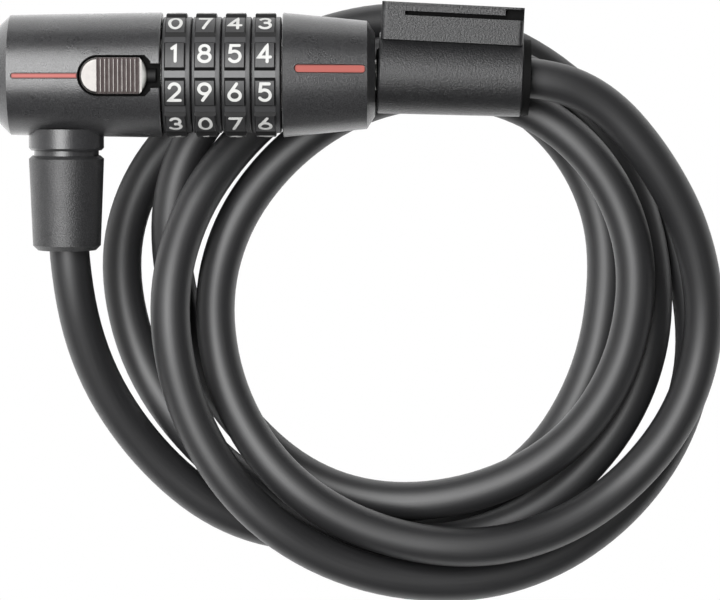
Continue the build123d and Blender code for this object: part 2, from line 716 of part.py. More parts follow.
# ---------------------------------------------------------------- cable
# The coil is a chain of quarter turns. Each row is one end of a quarter: where the turn is
# furthest left, lowest, furthest right or highest (x, y), its height z there, its height
# halfway to the next row, and how far that quarter bulges past a plain ellipse.
floor_z = -31.5
turns = [
    (16.2, -47.6, 0.0, -18.5, -2.0),
    (76.9, -120.7, floor_z, floor_z, 4.7),
    (154.7, -49.4, -31.0, -31.0, 0.5),
    (97.0, 3.7, floor_z, floor_z, 2.4),
    (26.8, -51.1, -27.5, -18.5, -2.7),
    (106.2, -122.5, -21.5, -28.5, -1.2),
    (166.4, -60.0, -25.0, -21.0, 0.5),
    (107.5, 7.4, -21.0, -21.0, -2.3),
    (40.3, -58.0, -4.5, -6.0, 0.6),
    (113.7, -132.0, -19.0, -32.0, 0.1),
    (178.0, -67.9, -30.0, -32.0, -2.8),
    (103.5, 14.4, -28.5, -20.5, 0.3),
    (39.8, -39.8, -23.5, -32.0, -0.6),
    (97.6, -111.5, -24.0, -15.0, 1.3),
    (160.8, -53.0, -11.5, -12.0, 0.1),
    (110.5, -2.7, -16.5, -24.5, -1.4),
    (51.3, -59.7, -20.5, -10.0, 0.8),
    (118.3, -121.8, -11.5, -22.0, -0.5),
    (178.9, -62.5, -18.5, -7.0, -3.2),
    (cable_end_x + 17.5, 0.0, 0.0, 0.0, 0.0),
]
quarter_steps = 4


def coil_points():
    """Route points of the cable, four to a quarter turn."""
    points = [(gland_x, cable_start_y, 0.0)]
    for k in range(len(turns) - 1):
        x0, y0, z0, z_half, bulge = turns[k]
        x1, y1, z1 = turns[k + 1][:3]
        upright = k % 2 == 0            # starts at a left or right end, where the cable runs along Y
        cx, cy = (x1, y0) if upright else (x0, y1)
        out_x = math.copysign(1, (x0 + x1) / 2 - cx)
        out_y = math.copysign(1, (y0 + y1) / 2 - cy)
        for step in range(quarter_steps):
            t = step / quarter_steps * math.pi / 2
            push = bulge * math.sin(2 * t) ** 2 / math.sqrt(2)
            if upright:
                x, y = cx + (x0 - cx) * math.cos(t), cy + (y1 - cy) * math.sin(t)
            else:
                x, y = cx + (x1 - cx) * math.sin(t), cy + (y0 - cy) * math.cos(t)
            part = step / quarter_steps * 2
            z = z0 + (z_half - z0) * part if part < 1 else z_half + (z1 - z_half) * (part - 1)
            points.append((x + out_x * push, y + out_y * push, z))
    points.append(turns[-1][:3])
    points.append((cable_end_x, 0.0, 0.0))
    return [Vector(*p) for p in points]


def corner_radii(points):
    """Largest arc each pair of runs allows: 0.45 of the shorter run over tan(half the turn)."""
    radii = []
    for before, here, after in zip(points, points[1:], points[2:]):
        a, b = here - before, after - here
        turn = math.radians(a.get_angle(b))
        radii.append(0.45 * min(a.length, b.length) / math.tan(turn / 2))
    return radii


route = coil_points()
radii = corner_radii(route)
with BuildPart() as cable:
    with BuildLine() as cable_path:
        FilletPolyline(*route, radius=radii)
    start_plane = Plane(origin=route[0], z_dir=route[1] - route[0])
    with BuildSketch(start_plane):
        Circle(cable_r)
    sweep(path=cable_path.wires()[0])
save(cable, "cable")
cable_length = cable_path.wires()[0].length
print(f"cable length {cable_length:.1f} mm, radii {min(radii):.1f} to {max(radii):.1f} mm")
print("smallest radii:", ", ".join(f"{r:.1f}" for r in sorted(radii)[:6]))
print(f"volume over section times length {cable.part.volume / (math.pi * cable_r ** 2 * cable_length):.4f}")
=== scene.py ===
# %% [markdown]
# # A combination cable lock, dressed in Blender
#
# The solids come from CAD and stay as they are. This lesson adds what CAD leaves out: the camera
# and light, the smooth line of the cable, the numbers on the dials, the grain of paint, plastic
# and vinyl, and painted shade in the slots and grooves, with painted light on the groove floors.
#
# Objects are in metres, in the CAD frame; tables of sizes are in millimetres. X runs along the
# lock from its rear end, Y points away from the cable gland, and Z comes out of the slide button
# towards the viewer.

# %%
import math

import bmesh
import bpy
from mathutils import Matrix, Vector


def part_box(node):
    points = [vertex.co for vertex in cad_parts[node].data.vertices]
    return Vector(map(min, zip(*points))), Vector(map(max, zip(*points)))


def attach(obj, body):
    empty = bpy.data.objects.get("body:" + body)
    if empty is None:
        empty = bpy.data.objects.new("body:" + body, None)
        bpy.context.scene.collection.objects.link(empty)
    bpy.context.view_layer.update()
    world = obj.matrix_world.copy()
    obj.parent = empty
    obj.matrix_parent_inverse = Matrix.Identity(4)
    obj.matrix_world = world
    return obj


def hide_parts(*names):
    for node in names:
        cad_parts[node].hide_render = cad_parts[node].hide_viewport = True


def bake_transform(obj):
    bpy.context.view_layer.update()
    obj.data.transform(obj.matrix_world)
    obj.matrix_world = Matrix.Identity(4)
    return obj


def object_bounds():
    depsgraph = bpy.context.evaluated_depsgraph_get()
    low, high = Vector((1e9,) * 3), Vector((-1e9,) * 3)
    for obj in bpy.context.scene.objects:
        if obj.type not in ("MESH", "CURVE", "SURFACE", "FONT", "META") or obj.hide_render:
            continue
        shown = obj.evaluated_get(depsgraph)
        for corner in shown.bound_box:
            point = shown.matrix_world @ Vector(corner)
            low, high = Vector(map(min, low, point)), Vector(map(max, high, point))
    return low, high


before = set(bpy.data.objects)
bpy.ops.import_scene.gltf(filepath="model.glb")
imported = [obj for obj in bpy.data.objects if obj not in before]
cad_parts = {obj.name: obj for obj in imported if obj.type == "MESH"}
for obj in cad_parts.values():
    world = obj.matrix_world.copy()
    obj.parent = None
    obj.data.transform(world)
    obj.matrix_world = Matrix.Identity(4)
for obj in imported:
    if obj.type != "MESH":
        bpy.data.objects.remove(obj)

cad_low, cad_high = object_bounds()
MM = 0.001
TINY = 1e-6
print("CAD box in mm:", [round(c / MM, 1) for c in (*cad_low, *cad_high)])


def put(name, data):
    """A new object with this data, linked into the scene."""
    obj = bpy.data.objects.new(name, data)
    bpy.context.scene.collection.objects.link(obj)
    return obj


def put_bmesh(name, bm):
    """A new object from a finished bmesh, with its faces turned outwards."""
    bmesh.ops.recalc_face_normals(bm, faces=bm.faces)
    mesh = bpy.data.meshes.new(name)
    bm.to_mesh(mesh)
    bm.free()
    return put(name, mesh)


# %% [markdown]
# ## Camera first
#
# A long lens 0.9 m away sees 180 mm across. It looks down on the table, leaning 4 degrees from
# the top edge, so lengths keep their proportions and the gland shows its rims as shallow curves.

# %%
AIM = Vector((0.0897, -0.0564, 0))
DISTANCE = 0.9041
LEAN = math.radians(4.2)
SENSOR_MM, LENS_MM = 36, 180
NEAR_CLIP = 0.05
lens = bpy.data.cameras.new("camera")
lens.sensor_width = SENSOR_MM
lens.lens = LENS_MM
lens.clip_start = NEAR_CLIP
camera = put("camera", lens)
camera.location = AIM + DISTANCE * Vector((0, math.sin(LEAN), math.cos(LEAN)))
camera.rotation_euler = (-LEAN, 0, 0)
bpy.context.scene.camera = camera
print("camera looks down from", round(camera.location.z, 3), "m")

# %% [markdown]
# ## The cable's line
#
# The cable leaves the gland, goes round four and three quarter times and comes back into the
# plug. Each row below is one end of a quarter turn: its place, its height, its height halfway to
# the next row, and how far that quarter bulges past a plain ellipse. These are the numbers that
# the solid was built from, so both follow the same route.

# %%
TABLE_Z = -31.5
TURNS = [
    (16.2, -47.6, 0.0, -18.5, -2.0),
    (76.9, -120.7, TABLE_Z, TABLE_Z, 4.7),
    (154.7, -49.4, -31.0, -31.0, 0.5),
    (97.0, 3.7, TABLE_Z, TABLE_Z, 2.4),
    (26.8, -51.1, -27.5, -18.5, -2.7),
    (106.2, -122.5, -21.5, -28.5, -1.2),
    (166.4, -60.0, -25.0, -21.0, 0.5),
    (107.5, 7.4, -21.0, -21.0, -2.3),
    (40.3, -58.0, -4.5, -6.0, 0.6),
    (113.7, -132.0, -19.0, -32.0, 0.1),
    (178.0, -67.9, -30.0, -32.0, -2.8),
    (103.5, 14.4, -28.5, -20.5, 0.3),
    (39.8, -39.8, -23.5, -32.0, -0.6),
    (97.6, -111.5, -24.0, -15.0, 1.3),
    (160.8, -53.0, -11.5, -12.0, 0.1),
    (110.5, -2.7, -16.5, -24.5, -1.4),
    (51.3, -59.7, -20.5, -10.0, 0.8),
    (118.3, -121.8, -11.5, -22.0, -0.5),
    (178.9, -62.5, -18.5, -7.0, -3.2),
    (134.5, 0.0, 0.0, 0.0, 0.0),
]
CABLE_START = (16.2, -28.0, 0.0)
CABLE_END = (117.0, 0.0, 0.0)
CABLE_R = 5.0
QUARTER_STEPS = 4


def coil_points():
    """Control points of the cable's line, four to a quarter turn, in millimetres."""
    points = [CABLE_START]
    for k in range(len(TURNS) - 1):
        x0, y0, z0, z_half, bulge = TURNS[k]
        x1, y1, z1 = TURNS[k + 1][:3]
        upright = k % 2 == 0
        cx, cy = (x1, y0) if upright else (x0, y1)
        out_x = math.copysign(1, (x0 + x1) / 2 - cx)
        out_y = math.copysign(1, (y0 + y1) / 2 - cy)
        for step in range(QUARTER_STEPS):
            t = step / QUARTER_STEPS * math.pi / 2
            push = bulge * math.sin(2 * t) ** 2 / math.sqrt(2)
            if upright:
                x, y = cx + (x0 - cx) * math.cos(t), cy + (y1 - cy) * math.sin(t)
            else:
                x, y = cx + (x1 - cx) * math.sin(t), cy + (y0 - cy) * math.cos(t)
            part = step / QUARTER_STEPS * 2
            z = z0 + (z_half - z0) * part if part < 1 else z_half + (z1 - z_half) * (part - 1)
            points.append((x + out_x * push, y + out_y * push, z))
    points.append(TURNS[-1][:3])
    points.append(CABLE_END)
    return points


# %% [markdown]
# A NURBS spline takes those points as its control points. Its order is set after the points are
# there, because a spline with too few points silently falls back to straight runs.

# %%
def nurbs_line(name, points):
    """A curve object of one open NURBS spline through the table's control points."""
    data = bpy.data.curves.new(name, "CURVE")
    data.dimensions = "3D"
    data.resolution_u = 8
    spline = data.splines.new("NURBS")
    spline.points.add(len(points) - 1)
    for point, (x, y, z) in zip(spline.points, points):
        point.co = (x * MM, y * MM, z * MM, 1)
    spline.order_u = 3
    spline.use_endpoint_u = True
    return put(name, data)


def read_line(line):
    """The spline's own smooth points, as Blender evaluates it with no bevel."""
    bpy.context.view_layer.update()
    evaluated = line.evaluated_get(bpy.context.evaluated_depsgraph_get())
    mesh = bpy.data.meshes.new_from_object(evaluated)
    points = [v.co.copy() for v in mesh.vertices]
    bpy.data.meshes.remove(mesh)
    return points


cable_line = nurbs_line("cable_line", coil_points())
cable_path = read_line(cable_line)
bpy.data.objects.remove(cable_line)
cable_length = sum((b - a).length for a, b in zip(cable_path, cable_path[1:]))
print(f"cable line: {len(cable_path)} points, {cable_length:.3f} m")

# %% [markdown]
# ## Small tools for materials
#
# Colours are written as screen hex values and turned into linear light in one place. One function
# adds a node and sets its inputs by name, and another links the results to the shader, so each
# material below reads as a short recipe.

# %%
def linear(hex_colour):
    """Screen colour such as 'd8655c' as the linear RGBA that shaders work in."""
    out = []
    for k in (0, 2, 4):
        c = int(hex_colour[k:k + 2], 16) / 255
        out.append(c / 12.92 if c <= 0.04045 else ((c + 0.055) / 1.055) ** 2.4)
    return (*out, 1.0)


def add(tree, kind, attributes=None, **inputs):
    """One node. Inputs are values or sockets to link, named with _ for spaces, or i0, i1, i2."""
    node = tree.nodes.new(kind)
    for key, value in (attributes or {}).items():
        setattr(node, key, value)
    for key, value in inputs.items():
        by_place = key[0] == "i" and key[1:].isdigit()
        socket = node.inputs[int(key[1:]) if by_place else key.replace("_", " ")]
        if isinstance(value, bpy.types.NodeSocket):
            tree.links.new(value, socket)
        else:
            socket.default_value = value
    return node


def new_material(name, base, roughness, metallic=0.0, **inputs):
    """A material with a Principled shader; returns (material, tree, shader)."""
    material = bpy.data.materials.new(name)
    material.use_nodes = True
    tree = material.node_tree
    shader = tree.nodes["Principled BSDF"]
    shader.inputs["Base Color"].default_value = linear(base)
    shader.inputs["Roughness"].default_value = roughness
    shader.inputs["Metallic"].default_value = metallic
    for key, value in inputs.items():
        shader.inputs[key.replace("_", " ")].default_value = value
    material.diffuse_color = linear(base)
    return material, tree, shader


def link(tree, shader, **sockets):
    """Links sockets to a shader's inputs, named with _ for spaces."""
    for key, socket in sockets.items():
        tree.links.new(socket, shader.inputs[key.replace("_", " ")])


def object_point(tree, stretch=(1, 1, 1)):
    """Object coordinates, stretched, so that a grain stays fixed on the piece."""
    place = add(tree, "ShaderNodeTexCoord")
    return add(tree, "ShaderNodeMapping", Vector=place.outputs["Object"], Scale=stretch).outputs[0]


def noise(tree, point, per_metre, detail=2.0, rough=0.5):
    """Soft noise from 0 to 1, with this many blobs to a metre."""
    return add(tree, "ShaderNodeTexNoise", Vector=point, Scale=per_metre, Detail=detail,
               Roughness=rough).outputs[0]


def ramp(tree, value, stops):
    """Values or colours along a 0 to 1 factor. Stops are (place, hex colour)."""
    node = add(tree, "ShaderNodeValToRGB", Fac=value)
    while len(node.color_ramp.elements) < len(stops):
        node.color_ramp.elements.new(0.5)
    for element, (place, colour) in zip(node.color_ramp.elements, stops):
        element.position = place
        element.color = linear(colour)
    return node.outputs["Color"]


def spread(tree, value, low, high):
    """Maps a 0 to 1 factor onto low to high."""
    return add(tree, "ShaderNodeMapRange", Value=value, To_Min=low, To_Max=high).outputs[0]


def bump(tree, height, depth_m, strength):
    """A surface direction bent by a height whose full range stands for depth_m metres."""
    return add(tree, "ShaderNodeBump", Height=height, Distance=depth_m,
               Strength=strength).outputs[0]


# %% [markdown]
# ## Paint, plastic and vinyl
#
# ### Satin dark paint on the lock body
# Die-cast zinc is painted with a fine satin paint. A noise of about 0.3 mm gives the tiny orange
# peel that softens the highlight, and a broader noise varies the gloss so it is not computer-flat.

# %%
PEEL_PER_METRE = 3400
GLOSS_PER_METRE = 120


def satin_paint(name, base, worn, roughness, peel_depth):
    material, tree, shader = new_material(name, base, roughness)
    point = object_point(tree)
    peel = noise(tree, point, PEEL_PER_METRE, 3.0)
    broad = noise(tree, point, GLOSS_PER_METRE)
    link(tree, shader,
         Base_Color=ramp(tree, peel, [(0.3, base), (0.72, worn)]),
         Roughness=spread(tree, broad, roughness - 0.06, roughness + 0.08),
         Normal=bump(tree, peel, peel_depth, 0.6))
    return material


paint_body = satin_paint("satin_paint_on_zinc", "151516", "353536", 0.28, 0.00009)
paint_gland = satin_paint("satin_paint_on_gland", "0c0c0d", "2e2e2f", 0.44, 0.0002)
paint_neck = satin_paint("smooth_paint_on_neck", "1d1d1e", "323233", 0.28, 0.0001)
print("paints:", [m.name for m in (paint_body, paint_gland, paint_neck)])

# %% [markdown]
# ### Moulded plastic with a spark-eroded grain
# The bracket sleeve is coarse: pits of about 0.5 mm that catch the light one by one. The dials
# are the same plastic with a finer grain. A cell pattern gives the pits, a noise breaks them up.

# %%
CELL_SHARE = 0.6
NOISE_PER_CELL = 2.2


def grained_plastic(name, base, light, cell_mm, depth, roughness, sheen=0.5):
    material, tree, shader = new_material(name, base, roughness, Specular_IOR_Level=sheen)
    point = object_point(tree)
    cells = add(tree, "ShaderNodeTexVoronoi", {"feature": "SMOOTH_F1"}, Vector=point,
                Scale=1 / (cell_mm * MM), Smoothness=0.7).outputs["Distance"]
    fine = noise(tree, point, NOISE_PER_CELL / (cell_mm * MM), 3.0, 0.6)
    both = add(tree, "ShaderNodeMath", {"operation": "MULTIPLY_ADD"},
               i0=cells, i1=CELL_SHARE, i2=fine).outputs[0]
    link(tree, shader,
         Base_Color=ramp(tree, fine, [(0.35, base), (0.75, light)]),
         Roughness=spread(tree, fine, roughness - 0.1, roughness + 0.12),
         Normal=bump(tree, both, depth, 0.8))
    return material


plastic_sleeve = grained_plastic(
    "coarse_grained_plastic", "060607", "2a2a2b", 0.5, 0.00014, 0.32, 0.38)
plastic_dial = grained_plastic(
    "fine_grained_dial_plastic", "19191a", "222223", 0.25, 0.00003, 0.45)
# Painted light: the groove floors get a lighter plastic. Painted shade: the groove sides get a
# darker one.
groove_floor_painted_light = grained_plastic(
    "dial_groove_floor_painted_light", "333334", "3a3a3b", 0.3, 0.00001, 0.4)
groove_side_painted_shade = grained_plastic(
    "dial_groove_side_painted_shade", "080808", "0c0c0d", 0.25, 0.00002, 0.6, 0.2)
plastic_black = grained_plastic(
    "black_moulded_plastic", "080808", "0e0e0f", 0.3, 0.00003, 0.6, 0.2)
# Dead black for the slider frame and the end ring, and as painted shade in the rail's slots.
plastic_frame_and_slot_shade = grained_plastic(
    "dead_black_frame_and_painted_slot_shade", "040404", "060606", 0.3, 0.00003, 0.7, 0.08)
plastic_inner = grained_plastic(
    "natural_acetal", "d4d2ca", "dedcd4", 0.5, 0.00002, 0.4)
print("plastics:", [m.name for m in (plastic_sleeve, plastic_dial, plastic_black, plastic_inner)])

# %% [markdown]
# ### Vinyl sheath
# Smooth black vinyl over steel rope. It has hardly any grain, a soft wide highlight, and faint
# lengthways drag marks from the extruder. The marks follow the cable, so they need coordinates
# that run along it: the tube below is given a UV map with its length along U. There are six marks
# to a unit of U and ninety round the cable.

# %%
DRAG_MARKS = (6, 90, 1)
SPECKS_PER_METRE = 1500


def vinyl_sheath():
    material, tree, shader = new_material("smooth_vinyl_sheath", "1b1b1c", 0.45)
    uv = add(tree, "ShaderNodeTexCoord").outputs["UV"]
    drag = add(tree, "ShaderNodeMapping", Vector=uv, Scale=DRAG_MARKS).outputs[0]
    lines = noise(tree, drag, 1.0, 3.0, 0.55)
    speck = noise(tree, object_point(tree), SPECKS_PER_METRE)
    link(tree, shader,
         Base_Color=ramp(tree, lines, [(0.3, "161617"), (0.75, "1b1b1c")]),
         Roughness=spread(tree, lines, 0.44, 0.56),
         Normal=bump(tree, speck, 0.00002, 0.4))
    return material


sheath = vinyl_sheath()
print("sheath:", sheath.name)

# %% [markdown]
# ### Metals
# Hidden steel, brass and spring strip show when the plug is drawn or a ring is looked at closely.
# Turned parts carry fine rings, so the noise is squeezed along the turning axis.

# %%
def turned_metal(name, base, roughness, axis_stretch):
    material, tree, shader = new_material(name, base, roughness, 1.0)
    marks = noise(tree, object_point(tree, axis_stretch), 1.0)
    link(tree, shader,
         Roughness=spread(tree, marks, roughness - 0.07, roughness + 0.1),
         Normal=bump(tree, marks, 0.00001, 0.5))
    return material


ALONG_X = (9000, 60, 60)
ALONG_Y = (60, 9000, 60)
ALL_WAYS = (800, 800, 800)
steel = turned_metal("turned_steel", "a3a3a1", 0.3, ALONG_X)
steel_y = turned_metal("turned_steel_gland", "a3a3a1", 0.3, ALONG_Y)
spring_steel = turned_metal("spring_steel", "b4b4b1", 0.25, ALL_WAYS)
brass = turned_metal("turned_brass", "b98f4a", 0.3, ALONG_X)
blackened = turned_metal("blackened_steel", "1c1c1d", 0.45, ALONG_X)
print("metals:", [m.name for m in (steel, steel_y, spring_steel, brass, blackened)])

# %% [markdown]
# ### Red marker strips, silver button, white numbers
# The strips are a flat salmon red with painted shade darkening them into the pocket around them,
# so their shader asks how far a point lies from the strip's edge. The button is satin silver
# plating, bare on its front end; the flanks of its ribs carry painted shade and a painted pink
# reflection of the red strip. The numbers are printed in white ink.

# %%
SPOTS_PER_METRE = 900


def plain_gloss(name, base, light, roughness, metallic=0.0):
    material, tree, shader = new_material(name, base, roughness, metallic)
    spots = noise(tree, object_point(tree), SPOTS_PER_METRE, 3.0)
    link(tree, shader,
         Base_Color=ramp(tree, spots, [(0.3, base), (0.7, light)]),
         Roughness=spread(tree, spots, roughness - 0.05, roughness + 0.07))
    return material


def strip_red(name, low, high, centre, edge, shade_fade_mm=0.5):
    """Red with painted shade, from a dark edge to a light middle, measured inside the strip's own
    box.
    """
    material, tree, shader = new_material(name, centre, 0.6, Specular_IOR_Level=0.3)
    middle, half = (low + high) / 2, (high - low) / 2

    def vector_math(operation, **inputs):
        return add(tree, "ShaderNodeVectorMath", {"operation": operation}, **inputs).outputs[0]

    away = vector_math("ABSOLUTE", i0=vector_math("SUBTRACT", i0=object_point(tree), i1=middle))
    inside = vector_math("SUBTRACT", i0=half, i1=away)
    split = add(tree, "ShaderNodeSeparateXYZ", Vector=inside)
    nearest = add(tree, "ShaderNodeMath", {"operation": "MINIMUM"},
                  i0=split.outputs["X"], i1=split.outputs["Y"]).outputs[0]
    depth = add(tree, "ShaderNodeMapRange", Value=nearest, From_Max=shade_fade_mm * MM).outputs[0]
    # Painted shade: the red darkens to the edge colour towards the pocket around the strip.
    link(tree, shader, Base_Color=ramp(tree, depth, [(0.0, edge), (0.9, centre)]))
    return material


# The last colour of each strip is its painted shade at the edge.
red_rear = strip_red("red_strip_on_body", *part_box("rear_marker"), "8f4d48", "35100e")
red_nose = strip_red("red_strip_on_nose", *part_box("front_marker"), "86423b", "35100e")
# Painted shade on the rib flanks, with a pink tint as a painted reflection of the red strip.
silver_rib = plain_gloss("rib_flank_silver_with_painted_shade_and_reflection", "544d4c", "625b5a", 0.35, metallic=0.6)
silver_front = plain_gloss("bare_grey_front", "6a6a68", "7a7a77", 0.5)
silver = plain_gloss("satin_silver_plating", "565453", "605e5c", 0.33, metallic=1.0)
white_ink = plain_gloss("white_ink", "a2a2a0", "acacaa", 0.85)
print("colours:", [m.name for m in (red_rear, red_nose, silver, silver_rib, silver_front,
                                    white_ink)])

# %% [markdown]
# Each CAD node gets the material of its real finish.

# %%
FINISHES = {
    "rear_housing": paint_body, "front_housing": paint_body, "rear_end_cap": paint_body,
    "gland_neck": paint_neck, "gland_ring": paint_neck, "gland_sleeve": paint_gland,
    "rear_marker": red_rear, "front_marker": red_nose,
    "slider_button": silver, "slider_frame": plastic_frame_and_slot_shade,
    "bracket_sleeve": plastic_sleeve, "bracket_end_ring": plastic_frame_and_slot_shade, "cable": sheath,
    "core_tube": steel, "slider_carrier": steel, "pusher_ring": steel, "nose_pins": steel,
    "housing_screws": steel, "plug_pin": steel, "plug_rope": steel, "plug_ferrule": blackened,
    "detent_leaf": spring_steel, "slider_spring": spring_steel, "stack_spring": spring_steel,
    "retaining_clip": spring_steel,
    "cable_crimp": steel_y, "rope_tail": steel_y, "rope_stop": brass,
}
DIALS = range(1, 5)
for i in DIALS:
    FINISHES[f"dial_ring_{i}"] = plastic_dial
    FINISHES[f"clutch_ring_{i}"] = brass
    FINISHES[f"dial_spacer_{i}"] = plastic_inner


def wear(obj, material):
    """Gives a piece this one material."""
    obj.data.materials.clear()
    obj.data.materials.append(material)


def dress_faces(obj, material, chosen):
    """A second material on the faces for which chosen(centre, normal) holds."""
    obj.data.materials.append(material)
    slot = len(obj.data.materials) - 1
    count = 0
    for face in obj.data.polygons:
        if chosen(face.center / MM, face.normal):
            face.material_index = slot
            count += 1
    return count


for name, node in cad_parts.items():
    wear(node, FINISHES[name])
print("dressed", len(FINISHES), "CAD nodes")

# %% [markdown]
# Each groove of a dial gets painted light on its floor and painted shade on its sloping sides. The
# slide button is plated only where it shows: its tongue stays black. The slots along the bracket's
# rail get dead black as painted shade. Places are in millimetres.

# %%
PAD_INSET, PAD_W, PAD_EDGE = 0.75, 5.1, 0.05
GROOVE_R, FLOOR_R, SIDE_R = 14, 14.75, 15.5
TILTED, FLAT = 0.2, 0.97


def outward(centre, normal):
    """How far a face points away from the lock axis, from 0 to 1, and its distance from it."""
    radius = math.hypot(centre.y, centre.z)
    return (normal.y * centre.y + normal.z * centre.z) / max(radius, TINY), radius


def dress_grooves(index):
    """Painted light on the floors, painted shade on the sides of one dial's grooves; how many
    faces each has.
    """
    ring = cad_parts[f"dial_ring_{index}"]
    pads_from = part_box(f"dial_ring_{index}")[0].x / MM + PAD_INSET

    def among_pads(centre):
        return pads_from + PAD_EDGE < centre.x < pads_from + PAD_W - PAD_EDGE

    def groove_floor(centre, normal):
        out, radius = outward(centre, normal)
        return among_pads(centre) and out > FLAT and GROOVE_R < radius < FLOOR_R

    def groove_side(centre, normal):
        out, radius = outward(centre, normal)
        return among_pads(centre) and TILTED < out < FLAT and GROOVE_R < radius < SIDE_R

    return (dress_faces(ring, groove_floor_painted_light, groove_floor),
            dress_faces(ring, groove_side_painted_shade, groove_side))


for i in DIALS:
    floors, sides = dress_grooves(i)
print("groove faces on a dial:", floors, "floors and", sides, "sides")

RIBS_FROM, RIBS_TO = 24.9, 35.5
FRONT_FROM, BUTTON_END = 36.0, 37.35
FLANK_LOW, FLANK_HIGH = 0.2, 0.95
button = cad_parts["slider_button"]
tongue = dress_faces(button, plastic_black, lambda centre, normal: centre.x > BUTTON_END)
# The rib flanks get the silver with painted shade and a painted reflection.
flanks = dress_faces(
    button, silver_rib, lambda centre, normal:
    RIBS_FROM < centre.x < RIBS_TO and FLANK_LOW < normal.z < FLANK_HIGH)
front = dress_faces(
    button, silver_front, lambda centre, normal: FRONT_FROM < centre.x <= BUTTON_END)
print("tongue faces:", tongue, "rib flanks:", flanks, "front:", front)

RAIL_ANGLE = math.radians(-2.85)
RAIL_SLOT_FROM, RAIL_SLOT_TO, RAIL_SKIN = 14.3, 17.1, 6.3
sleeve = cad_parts["bracket_sleeve"]
sleeve_low, sleeve_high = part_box("bracket_sleeve")
sleeve_x = (sleeve_low.x + sleeve_high.x) / 2 / MM


def rail_slot_painted_shade(centre, normal):
    """Faces inside the rail's side slots, measured square to the leaning rail; they get painted
    shade.
    """
    height = centre.y * math.cos(RAIL_ANGLE) - (centre.x - sleeve_x) * math.sin(RAIL_ANGLE)
    return abs(centre.z) < RAIL_SKIN and RAIL_SLOT_FROM < height < RAIL_SLOT_TO


# Painted shade: the faces inside the rail's slots get the dead black of the frame.
print("slot faces on the rail:", dress_faces(sleeve, plastic_frame_and_slot_shade, rail_slot_painted_shade))

# %% [markdown]
# ## The cable as one smooth tube
#
# The tube is swept along the NURBS line, ring by ring. Each ring is turned from the last by the
# smallest rotation that fits the new direction, so the surface never twists.

# %%
METRES_PER_U = 0.1


def frames_along(path):
    """Point, side and up directions along a path, turned as little as possible."""
    out = []
    side = Vector((1, 0, 0))
    for k, here in enumerate(path):
        ahead = path[min(k + 1, len(path) - 1)] - path[max(k - 1, 0)]
        ahead.normalize()
        side = (side - ahead * side.dot(ahead)).normalized()
        out.append((here, side.copy(), ahead.cross(side)))
    return out


def tube(name, path, radius, sides=28):
    """A closed tube mesh along a path, with its length along U and its girth along V."""
    bm = bmesh.new()
    uv = bm.loops.layers.uv.new("along")
    rings = []
    for here, side, up in frames_along(path):
        rings.append([
            bm.verts.new(here + (side * math.cos(a) + up * math.sin(a)) * radius)
            for a in (2 * math.pi * s / sides for s in range(sides))])
    gone = [0.0]
    for a, b in zip(path, path[1:]):
        gone.append(gone[-1] + (b - a).length)
    for k, (low, high) in enumerate(zip(rings, rings[1:])):
        for s in range(sides):
            t = (s + 1) % sides
            face = bm.faces.new((low[s], low[t], high[t], high[s]))
            face.smooth = True
            where = ((k, s), (k, s + 1), (k + 1, s + 1), (k + 1, s))
            for loop, (along, girth) in zip(face.loops, where):
                loop[uv].uv = (gone[along] / METRES_PER_U, girth / sides)
    bm.faces.new(list(reversed(rings[0])))
    bm.faces.new(rings[-1])
    return put_bmesh(name, bm)


cable_tube = tube("cable_tube", cable_path, CABLE_R * MM)
wear(cable_tube, sheath)
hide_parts("cable")
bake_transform(cable_tube)
print("cable tube:", len(cable_tube.data.polygons), "faces")

# %% [markdown]
# ## The return springs
#
# The two return springs rest against the slider at one end and against the lock at the other. Each
# is a copy of its solid, shown in its place in spring steel.

# %%
def giving_spring(node_name):
    """A copy of the spring's own mesh in spring steel, shown in place of the solid."""
    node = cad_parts[node_name]
    mesh = node.data.copy()
    mesh.transform(node.matrix_world)
    spring = put(f"{node_name}_giving", mesh)
    wear(spring, spring_steel)
    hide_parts(node_name)
    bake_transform(spring)
    return spring


for node_name in ("slider_spring", "stack_spring"):
    print(giving_spring(node_name).name, "follows the slider")

# %% [markdown]
# ## Numbers on the dials
#
# The numbers are printed, so each is a thin plate of ink on the pad's curved face. A number is a
# few strokes with round ends. Each stroke is a centre line, in millimetres from the middle of the
# number, with u along the lock and v up the page. At a sharp corner the stroke's edge reaches out
# to twice its half width at most.

# %%
INK_W = 0.76
INK_TOP, INK_FOOT = 0.05, -0.05
INK_LAYER = 0.006
SHARPEST = 0.5
HALF_W, HALF_H = 1.42, 2.11
DIGITS = 10


def arc(cu, cv, ru, rv, start, end, steps=28):
    """Points on an ellipse from one angle to another, in degrees from +u towards +v."""
    return [(cu + ru * math.cos(math.radians(start + (end - start) * k / steps)),
             cv + rv * math.sin(math.radians(start + (end - start) * k / steps)))
            for k in range(steps + 1)]


